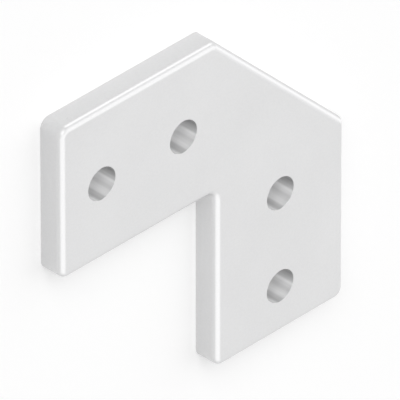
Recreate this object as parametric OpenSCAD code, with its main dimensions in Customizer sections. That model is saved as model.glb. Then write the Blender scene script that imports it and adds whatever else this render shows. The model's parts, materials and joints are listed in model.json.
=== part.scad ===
// Flat corner plate: two arms at right angles, cut straight across the outer corner, with a row of screw
// holes along the middle of each arm. The front edges are rounded. The back, which bears on the frame
// that the plate joins, is flat with plain edges. The two rows of holes cross at the origin, on the back
// face, and the arms run along +X and +Y. Lengths are in millimetres.

/* [Arms] */
// Width of each arm
arm_w = 32; // [24:0.5:40]
// Thickness of the plate
plate_t = 5; // [2:0.25:12]
// Leg of the 45 degree cut across the outer corner
corner_cut = 32; // [6:0.5:34]

/* [Holes] */
// Diameter of the screw holes
hole_d = 6.6; // [3:0.1:11]
// Number of holes in each arm
holes_per_arm = 2; // [1:1:4]
// Distance from the crossing of the two rows to the first hole
first_hole = 24; // [23:0.5:60]
// Spacing of the holes in a row
hole_pitch = 20; // [14:0.5:60]
// Distance from the last hole to the end of the arm
end_margin = 10; // [8:0.5:40]

/* [Rounding] */
// Radius of the outer corners, seen from the front
corner_r = 2; // [1.5:0.1:5]
// Radius of the inner corner, seen from the front
inner_r = 2; // [0.5:0.1:5]
// Radius along all the front edges
edge_r = 1.25; // [0.25:0.05:1.4]

/* [Hidden] */
$fn = 96;

half_w = arm_w / 2;
reach = first_hole + (holes_per_arm - 1) * hole_pitch + end_margin;
cut_start = corner_cut - half_w;
// The drill runs this far past both faces
drill_over = 1;

// The blank is laid out in metres and drawn in millimetres. At that size the rounded-off coordinates of
// the turned and the straight lengths of its rim agree, so the lengths join into one clean skin.
mm = 1 / 1000;
blank_t = mm * plate_t;
blank_edge_r = mm * edge_r;
outer_r = mm * corner_r;
notch_r = mm * inner_r;
// The core lies this far inside the outline, past the rounded edge and short of the arcs' centres
core_inset = (blank_edge_r + outer_r) / 2;

// Corners of the outline before rounding, going round to the left
CORNERS = mm * [
    [cut_start, -half_w],
    [reach, -half_w],
    [reach, half_w],
    [half_w, half_w],
    [half_w, reach],
    [-half_w, reach],
    [-half_w, cut_start]
];

// Corner i, counted round and round
function corner(i) = CORNERS[(i + len(CORNERS)) % len(CORNERS)];
// The edge that leaves corner i, and its direction in degrees
function edge(i) = corner(i + 1) - corner(i);
function heading(i) = atan2(edge(i).y, edge(i).x);
// Turn at corner i in degrees: to the left at an outer corner, and to the right at the inner one
function turn(i) = (heading(i) - heading(i - 1) + 540) % 360 - 180;
function is_outer(i) = turn(i) > 0;
function radius(i) = is_outer(i) ? outer_r : notch_r;
// Distance from corner i to either end of its arc
function setback(i) = radius(i) * tan(abs(turn(i)) / 2);
// Length of the straight part of the edge that leaves corner i
function straight_run(i) = norm(edge(i)) - setback(i) - setback(i + 1);
// Point that lies a distance inside both edges of corner i
function inset(i, distance) =
    let (ahead = [cos(heading(i - 1)), sin(heading(i - 1))], left = [-ahead.y, ahead.x])
    corner(i) + distance * (left - tan(turn(i) / 2) * ahead);
function arc_centre(i) = inset(i, is_outer(i) ? radius(i) : -radius(i));

// Section through the rim from its inner side out to its face, with the front edge rounded
module edge_section(depth) {
    difference() {
        square([depth, blank_t]);
        translate([depth - blank_edge_r, blank_t - blank_edge_r])
            difference() {
                square(2 * blank_edge_r);
                circle(r = blank_edge_r);
            }
    }
}

// The section at the radius of corner i, facing away from the arc's centre at an outer corner and towards
// it at the inner corner, where it is deep enough to reach the core
module rim_section(i) {
    if (is_outer(i))
        edge_section(outer_r);
    else
        translate([2 * (notch_r + outer_r), 0])
            mirror([1, 0])
                edge_section(notch_r + 2 * outer_r);
}

// The rim round corner i and along the edge that leaves it
module rim(i) {
    sweep = abs(turn(i));
    run = straight_run(i);
    translate(arc_centre(i))
        rotate(heading(i))
            mirror([0, is_outer(i) ? 0 : 1]) {
                rotate_extrude(angle = sweep, start = -90 - sweep)
                    rim_section(i);
                translate([run, 0])
                    rotate([90, 0, -90])
                        linear_extrude(run)
                            rim_section(i);
            }
}

// The plate before drilling
module blank() {
    linear_extrude(blank_t)
        polygon([for (i = [0 : len(CORNERS) - 1]) inset(i, core_inset)]);
    for (i = [0 : len(CORNERS) - 1])
        rim(i);
}

// The row of drilled holes along +X
module hole_row() {
    for (n = [0 : holes_per_arm - 1])
        translate([first_hole + n * hole_pitch, 0, -drill_over])
            cylinder(d = hole_d, h = plate_t + 2 * drill_over);
}

module corner_plate() {
    color("gainsboro")
        difference() {
            scale(1 / mm)
                blank();
            for (arm = [0, 90])
                rotate(arm)
                    hole_row();
        }
}

corner_plate();
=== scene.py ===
"""Dresses a flat corner plate in satin anodised aluminium and lights it on a pale studio floor.

The plate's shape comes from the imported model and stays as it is. This script gives it its finish, the floor
that it lies on, soft light and the camera. Lengths are in metres.
"""

import json
import math

import bpy
from mathutils import Matrix, Vector


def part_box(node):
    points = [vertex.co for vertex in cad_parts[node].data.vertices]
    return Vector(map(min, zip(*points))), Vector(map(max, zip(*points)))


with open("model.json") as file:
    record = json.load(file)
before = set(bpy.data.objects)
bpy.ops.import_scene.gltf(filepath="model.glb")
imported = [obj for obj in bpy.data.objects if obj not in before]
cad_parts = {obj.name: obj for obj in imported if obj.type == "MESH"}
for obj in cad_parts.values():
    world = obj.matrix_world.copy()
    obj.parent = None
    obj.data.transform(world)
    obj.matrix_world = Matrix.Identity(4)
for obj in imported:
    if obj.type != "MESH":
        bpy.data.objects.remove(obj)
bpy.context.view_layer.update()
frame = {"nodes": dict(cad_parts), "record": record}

bl_info = {
    "name": "Corner Plate Looks",
    "version": (1, 0, 0),
    "blender": (4, 5, 0),
    "location": "View3D > Sidebar > Corner Plate",
    "description": "Gives a flat corner plate its satin metal finish and sets up a studio around it",
    "category": "Material",
}

MM = 0.001

PLATE_NODE = "corner_plate"
PLATE_LOW, PLATE_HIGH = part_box(PLATE_NODE)
SCREW_HOLES = [mount for mount in frame["record"]["mounts"] if mount["kind"] == "bore"]
# The finish of a hole's wall reaches this far past its radius, so that it covers the whole wall
WALL_ROOM = 0.05 * MM

# The bands of painted highlight and painted shade along a hole start this many degrees from the x axis, and
# are the same on both halves of its wall
PAINTED_BANDS_START = 45
HALF_TURN = 180
# Degrees from the start, and shade from 0, dull, to 1, bright, the dull bands painted shade and the bright
# ones painted highlights
PAINTED_BORE_BANDS = (
    (0, 0.5),
    (22, 0.65),
    (42, 0.08),
    (54, 0.2),
    (66, 0.66),
    (78, 0.66),
    (93, 0.46),
    (105, 0.75),
    (114, 1),
    (123, 0.5),
    (138, 0.25),
    (152, 0.05),
    (HALF_TURN, 0.5),
)
# Share of the height that the streaks' pattern follows, small so that it is drawn out along a hole
STREAK_RISE = 0.03

FLOOR_SIDE = 6
# The floor lies this far under the plate, so that the two faces don't mix
FLOOR_GAP = 0.02 * MM

# The camera looks along a diagonal of the cube, rolled so that the plate seems to stand on an arm's end
TOWARDS_CAMERA = Vector((1, -1, 1)).normalized()
CAMERA_RIGHT = Vector((-1, 0, 1)).normalized()
CAMERA_UP = TOWARDS_CAMERA.cross(CAMERA_RIGHT)
# Width of the camera's sensor, in millimetres like the lens
SENSOR_WIDTH = 36


class Signal:
    """A node's output. Operators on signals and numbers add Math nodes, and | takes the higher of two."""

    def __init__(self, sheet, socket):
        self.sheet = sheet
        self.socket = socket

    def _math(self, operation, first, second):
        return self.sheet.add("ShaderNodeMath", {"operation": operation}, {0: first, 1: second})

    def __add__(self, other):
        return self._math("ADD", self, other)

    def __radd__(self, other):
        return self._math("ADD", other, self)

    def __sub__(self, other):
        return self._math("SUBTRACT", self, other)

    def __rsub__(self, other):
        return self._math("SUBTRACT", other, self)

    def __mul__(self, other):
        return self._math("MULTIPLY", self, other)

    def __rmul__(self, other):
        return self._math("MULTIPLY", other, self)

    def __mod__(self, other):
        return self._math("FLOORED_MODULO", self, other)

    def __rmod__(self, other):
        return self._math("FLOORED_MODULO", other, self)

    def __lt__(self, other):
        return self._math("LESS_THAN", self, other)

    def __gt__(self, other):
        return self._math("GREATER_THAN", self, other)

    def __or__(self, other):
        return self._math("MAXIMUM", self, other)

    def __ror__(self, other):
        return self._math("MAXIMUM", other, self)


class NodeSheet:
    """The shader nodes of one material or of the world."""

    def __init__(self, owner):
        owner.use_nodes = True
        self.tree = owner.node_tree
        self.tree.nodes.clear()

    def add(self, kind, settings=None, sockets=None, output=0):
        """Adds a node, makes its settings, feeds its sockets and returns one of its outputs."""
        node = self.tree.nodes.new(kind)
        for name, value in (settings or {}).items():
            if name == "stops":
                self._set_stops(node.color_ramp, value)
            else:
                setattr(node, name, value)
        for name, value in (sockets or {}).items():
            if isinstance(value, Signal):
                self.tree.links.new(value.socket, node.inputs[name])
            else:
                node.inputs[name].default_value = value
        return Signal(self, node.outputs[output]) if node.outputs else None

    def _set_stops(self, ramp, stops):
        """Gives a ramp its stops from 0 to 1, each a place and a grey."""
        ramp.interpolation = "EASE"
        for place, _ in stops[1:-1]:
            ramp.elements.new(place)
        for element, (_, grey) in zip(ramp.elements, stops):
            element.color = (grey, grey, grey, 1)


def factor(name, description, default):
    """A property from 0 to 1."""
    return bpy.props.FloatProperty(
        name=name, description=description, subtype="FACTOR", min=0, max=1, default=default
    )


def level(name, description, default):
    """A property from 0 up, where 1 is plain."""
    return bpy.props.FloatProperty(name=name, description=description, min=0, default=default)


def length(name, description, default):
    """A property that holds a length."""
    return bpy.props.FloatProperty(
        name=name, description=description, unit="LENGTH", precision=6, min=0, default=default
    )


def colour(name, description, default):
    """A property that holds a colour."""
    return bpy.props.FloatVectorProperty(
        name=name, description=description, subtype="COLOR", size=4, min=0, max=1, default=default
    )


def light_from(light, default):
    """A property for the direction of a light."""
    return bpy.props.FloatVectorProperty(
        name=f"{light} from", description=f"Direction that the {light.lower()} shines from",
        subtype="DIRECTION", size=3, default=default,
    )


def light_level(light, default):
    """A property for the brightness of a light."""
    return level(light, f"Brightness of the {light.lower()}, where 1 is white", default)


def light_spread(light, degrees):
    """A property for the width of a light."""
    return bpy.props.FloatProperty(
        name=f"{light} spread", description=f"Angle that the {light.lower()} fills, seen from the plate",
        subtype="ANGLE", min=0, max=math.pi, default=math.radians(degrees),
    )


class PlateFinish(bpy.types.PropertyGroup):
    """The plate's satin metal."""

    metal_colour: colour("Metal", "Colour of the anodised metal", (0.7, 0.7, 0.703, 1))
    metal_share: factor("Metal share", "How far the faces mirror as bare metal does", 0.88)
    face_roughness: factor("Face roughness", "Roughness of the blasted faces", 0.3)
    cloud_size: length("Clouds", "Size of the faint clouds in the anodised layer", 14 * MM)
    cloud_contrast: factor("Cloud contrast", "How far the clouds change the faces' shade and gloss", 0.05)
    grain_size: length("Grain", "Size of the pits that blasting leaves", 0.35 * MM)
    grain_depth: length("Grain depth", "Depth of the pits that blasting leaves", 0.004 * MM)
    grain_contrast: factor("Grain contrast", "How far the pits change the faces' shade and gloss", 0.05)
    bore_share: factor("Bore metal share", "How far the walls of the holes mirror as bare metal does", 0.1)
    bore_roughness: factor("Bore roughness", "Roughness of the walls of the holes", 0.45)
    # A hole's dull bands are painted shade, and its bright bands painted highlights
    bore_painted_shade: level("Dull bands", "Shade of a hole's dull bands, where 1 is the metal's own", 0.64)
    bore_painted_highlight: level("Bright bands", "Shade of a hole's bright bands, where 1 is the metal's own", 1.37)
    streak_width: length("Streaks", "Width of the fine streaks along a hole", 0.6 * MM)
    streak_depth: length("Streak depth", "Depth of the fine streaks along a hole", 0.03 * MM)
    streak_contrast: factor("Streak contrast", "How far the streaks change the shade of a hole's wall", 0.2)


class StudioSetup(bpy.types.PropertyGroup):
    """The floor, the light and the camera."""

    floor_colour: colour("Floor", "Colour of the floor", (0.78, 0.78, 0.78, 1))
    floor_glow: level("Floor glow", "Light that the floor adds to be seen as white", 0.31)
    sky_level: level("Sky", "Strength of the even light from all round", 0.27)

    # The lamps light the plate and the floor, and don't show in the metal
    front_lamp_from: light_from("Front lamp", (0.42, -0.68, 0.6))
    front_lamp_level: light_level("Front lamp", 3.2)
    front_lamp_spread: light_spread("Front lamp", 50)
    side_lamp_from: light_from("Side lamp", (-0.68, -0.35, 0.64))
    side_lamp_level: light_level("Side lamp", 0.96)
    side_lamp_spread: light_spread("Side lamp", 80)

    # The boxes show only in the metal, the upper and the low box as two lines in the upper edges
    upper_box_from: light_from("Upper box", (-0.58, 0.03, 0.81))
    upper_box_level: light_level("Upper box", 0.42)
    upper_box_spread: light_spread("Upper box", 54)
    low_box_from: light_from("Low box", (-0.586, -0.806, 0.087))
    low_box_level: light_level("Low box", 0.68)
    low_box_spread: light_spread("Low box", 42)

    # The cut box shows in the edge of the corner cut, the left box in the left edges and the corner box
    # where the left edges meet the upper ones
    cut_box_from: light_from("Cut box", (-0.92, 0.3, 0.18))
    cut_box_level: light_level("Cut box", 0.58)
    cut_box_spread: light_spread("Cut box", 28)
    left_box_from: light_from("Left box", (0.2, 0.577, 0.79))
    left_box_level: light_level("Left box", 0.45)
    left_box_spread: light_spread("Left box", 66)
    corner_box_from: light_from("Corner box", (0.38, -0.38, 0.84))
    corner_box_level: light_level("Corner box", 0.58)
    corner_box_spread: light_spread("Corner box", 44)

    view_width: length("View width", "Width of the picture at the plate", 69.83 * MM)
    view_aim: bpy.props.FloatVectorProperty(
        name="View aim", description="Point on the front face at the middle of the picture",
        subtype="TRANSLATION", size=3, precision=5, default=(19.94 * MM, 15.49 * MM, PLATE_HIGH.z),
    )
    lens: bpy.props.FloatProperty(
        name="Lens", description="Focal length in millimetres, long so that the view is nearly parallel",
        unit="CAMERA", min=1, default=1690,
    )


def hole_walls(sheet, place):
    """A mask, 1 on the walls of the screw holes, and the place there measured from the hole's axis."""
    flat_place = sheet.add("ShaderNodeVectorMath", {"operation": "MULTIPLY"}, {0: place, 1: (1, 1, 0)})
    from_axis = flat_place
    drilled = None
    for hole in SCREW_HOLES:
        axis_x, axis_y, _ = hole["pos_m"]
        axis = (axis_x, axis_y, 0)
        gap = sheet.add("ShaderNodeVectorMath", {"operation": "DISTANCE"}, {0: flat_place, 1: axis}, "Value")
        near = gap < hole["dims"]["r_mm"] * MM + WALL_ROOM
        shift = sheet.add("ShaderNodeVectorMath", {"operation": "SCALE"}, {0: axis, "Scale": near})
        from_axis = sheet.add("ShaderNodeVectorMath", {"operation": "SUBTRACT"}, {0: from_axis, 1: shift})
        drilled = near if drilled is None else drilled | near
    return drilled, from_axis


def painted_bore_bands(sheet, from_axis):
    """Painted bands from 0, dull, to 1, bright, that run along a hole, the same on both halves of its wall.
    The dull bands are painted shade and the bright ones painted highlights.
    """
    x = sheet.add("ShaderNodeSeparateXYZ", sockets={0: from_axis}, output="X")
    y = sheet.add("ShaderNodeSeparateXYZ", sockets={0: from_axis}, output="Y")
    angle = sheet.add("ShaderNodeMath", {"operation": "ARCTAN2"}, {0: y, 1: x})
    half_turns = (angle * (1 / math.pi) - PAINTED_BANDS_START / HALF_TURN) % 1
    stops = [(degrees / HALF_TURN, shade) for degrees, shade in PAINTED_BORE_BANDS]
    return sheet.add("ShaderNodeValToRGB", {"stops": stops}, {"Fac": half_turns})


def noise(sheet, place, size, detail):
    """Soft noise that swings evenly about 0, with patches of a given size."""
    middle = 0.5
    sockets = {"Vector": place, "Scale": 1 / size, "Detail": detail}
    return sheet.add("ShaderNodeTexNoise", {"noise_dimensions": "3D"}, sockets, "Fac") - middle


def choose(mask, outside, inside):
    """One value where a mask is 0 and another where it is 1."""
    return outside + mask * (inside - outside)


def satin_metal(finish):
    """Blasted and anodised aluminium, with fine streaks and bands of painted highlight and painted shade
    along the holes.
    """
    material = bpy.data.materials.new("satin_anodised_metal")
    sheet = NodeSheet(material)
    place = sheet.add("ShaderNodeTexCoord", output="Object")
    drilled, from_axis = hole_walls(sheet, place)

    clouds = noise(sheet, place, finish.cloud_size, detail=3)
    grain = noise(sheet, place, finish.grain_size, detail=0)
    mottle = finish.cloud_contrast * clouds + finish.grain_contrast * grain

    drawn_out = sheet.add(
        "ShaderNodeVectorMath", {"operation": "MULTIPLY"}, {0: place, 1: (1, 1, STREAK_RISE)}
    )
    streaks = noise(sheet, drawn_out, finish.streak_width, detail=2)
    # A hole's wall gets bands of painted highlight and painted shade, with fine streaks on top
    bands = choose(painted_bore_bands(sheet, from_axis), finish.bore_painted_shade, finish.bore_painted_highlight)
    bore_painted_light_and_streaks = bands + finish.streak_contrast * streaks

    red, green, blue, _ = finish.metal_colour
    shade = choose(drilled, 1 + mottle, bore_painted_light_and_streaks)
    shaded = sheet.add(
        "ShaderNodeVectorMath", {"operation": "SCALE"}, {0: (red, green, blue), "Scale": shade}
    )
    relief = choose(drilled, finish.grain_depth * grain, finish.streak_depth * streaks)
    shader = sheet.add(
        "ShaderNodeBsdfPrincipled",
        sockets={
            "Base Color": shaded,
            "Metallic": choose(drilled, finish.metal_share, finish.bore_share),
            "Roughness": choose(drilled, finish.face_roughness + mottle, finish.bore_roughness),
            "Normal": sheet.add("ShaderNodeBump", sockets={"Height": relief, "Strength": 1, "Distance": 1}),
        },
    )
    sheet.add("ShaderNodeOutputMaterial", sockets={"Surface": shader})
    return material


def seen_rays(sheet):
    """1 for the camera and for what metal and glass show, 0 for light that the floor or sky gives."""
    camera = sheet.add("ShaderNodeLightPath", output="Is Camera Ray")
    glossy = sheet.add("ShaderNodeLightPath", output="Is Glossy Ray")
    passed = sheet.add("ShaderNodeLightPath", output="Is Transmission Ray")
    return camera | glossy | passed


class CORNERPLATE_OT_finish_plate(bpy.types.Operator):
    """Give the plate its satin anodised metal"""

    bl_idname = "corner_plate.finish_plate"
    bl_label = "Finish Plate"
    bl_options = {"REGISTER", "UNDO"}

    def execute(self, context):
        plate = frame["nodes"][PLATE_NODE]
        metal = satin_metal(context.scene.plate_finish)
        for slot in plate.material_slots:
            slot.material = metal
        return {"FINISHED"}


class CORNERPLATE_OT_set_stage(bpy.types.Operator):
    """Lay the floor, hang the lights and set the camera"""

    bl_idname = "corner_plate.set_stage"
    bl_label = "Set Stage"
    bl_options = {"REGISTER", "UNDO"}

    def execute(self, context):
        scene = context.scene
        setup = scene.studio_setup
        scene.view_settings.view_transform = "Standard"
        self.lay_floor(setup)
        self.light_sky(scene, setup)
        for lamp in ("front_lamp", "side_lamp"):
            self.hang_light(scene, setup, lamp).visible_glossy = False
        for box in ("upper_box", "low_box", "cut_box", "left_box", "corner_box"):
            self.hang_light(scene, setup, box).visible_diffuse = False
        self.set_camera(scene, setup)
        return {"FINISHED"}

    def lay_floor(self, setup):
        """A wide pale floor just under the plate."""
        bpy.ops.object.select_all(action="DESELECT")
        bpy.ops.mesh.primitive_plane_add(size=FLOOR_SIDE, location=(0, 0, PLATE_LOW.z - FLOOR_GAP))
        floor = bpy.context.active_object
        floor.name = "floor"
        material = bpy.data.materials.new("pale_floor")
        sheet = NodeSheet(material)
        lit = sheet.add("ShaderNodeBsdfDiffuse", sockets={"Color": tuple(setup.floor_colour)})
        glow = sheet.add("ShaderNodeEmission", sockets={"Strength": seen_rays(sheet) * setup.floor_glow})
        both = sheet.add("ShaderNodeAddShader", sockets={0: lit, 1: glow})
        sheet.add("ShaderNodeOutputMaterial", sockets={"Surface": both})
        floor.data.materials.append(material)

    def light_sky(self, scene, setup):
        """Even light from all round, which is seen as white."""
        scene.world = bpy.data.worlds.new("studio")
        sheet = NodeSheet(scene.world)
        strength = choose(seen_rays(sheet), setup.sky_level, 1)
        sky = sheet.add("ShaderNodeBackground", sockets={"Color": (1, 1, 1, 1), "Strength": strength})
        sheet.add("ShaderNodeOutputWorld", sockets={"Surface": sky})

    def hang_light(self, scene, setup, name):
        """A large soft light, far away, that is as bright as its name's settings say."""
        direction = Vector(getattr(setup, f"{name}_from"))
        brightness = getattr(setup, f"{name}_level")
        spread = getattr(setup, f"{name}_spread")
        light = bpy.data.lights.new(name, "SUN")
        light.angle = spread
        light.energy = brightness * math.pi * math.sin(spread / 2) ** 2
        held = bpy.data.objects.new(name, light)
        held.rotation_euler = direction.to_track_quat("Z", "Y").to_euler()
        scene.collection.objects.link(held)
        return held

    def set_camera(self, scene, setup):
        """A long lens along a diagonal of the cube."""
        camera = bpy.data.cameras.new("camera")
        camera.lens = setup.lens
        camera.sensor_width = SENSOR_WIDTH
        distance = setup.view_width * camera.lens / camera.sensor_width
        held = bpy.data.objects.new("camera", camera)
        turn = Matrix((CAMERA_RIGHT, CAMERA_UP, TOWARDS_CAMERA)).transposed()
        place = Vector(setup.view_aim) + distance * TOWARDS_CAMERA
        held.matrix_world = Matrix.Translation(place) @ turn.to_4x4()
        scene.collection.objects.link(held)
        scene.camera = held


class CORNERPLATE_PT_looks(bpy.types.Panel):
    """Lists the plate's finish and the studio"""

    bl_idname = "CORNERPLATE_PT_looks"
    bl_label = "Corner Plate"
    bl_space_type = "VIEW_3D"
    bl_region_type = "UI"
    bl_category = "Corner Plate"

    def draw(self, context):
        for settings, operator in (
            (context.scene.plate_finish, CORNERPLATE_OT_finish_plate),
            (context.scene.studio_setup, CORNERPLATE_OT_set_stage),
        ):
            box = self.layout.box()
            for name in settings.__annotations__:
                box.prop(settings, name)
            box.operator(operator.bl_idname)


CLASSES = (
    PlateFinish,
    StudioSetup,
    CORNERPLATE_OT_finish_plate,
    CORNERPLATE_OT_set_stage,
    CORNERPLATE_PT_looks,
)


def register():
    for cls in CLASSES:
        bpy.utils.register_class(cls)
    bpy.types.Scene.plate_finish = bpy.props.PointerProperty(type=PlateFinish)
    bpy.types.Scene.studio_setup = bpy.props.PointerProperty(type=StudioSetup)


def unregister():
    del bpy.types.Scene.studio_setup
    del bpy.types.Scene.plate_finish
    for cls in reversed(CLASSES):
        bpy.utils.unregister_class(cls)


def main():
    """Runs the operators in order."""
    register()
    bpy.ops.corner_plate.finish_plate()
    bpy.ops.corner_plate.set_stage()


if __name__ == "__main__":
    main()
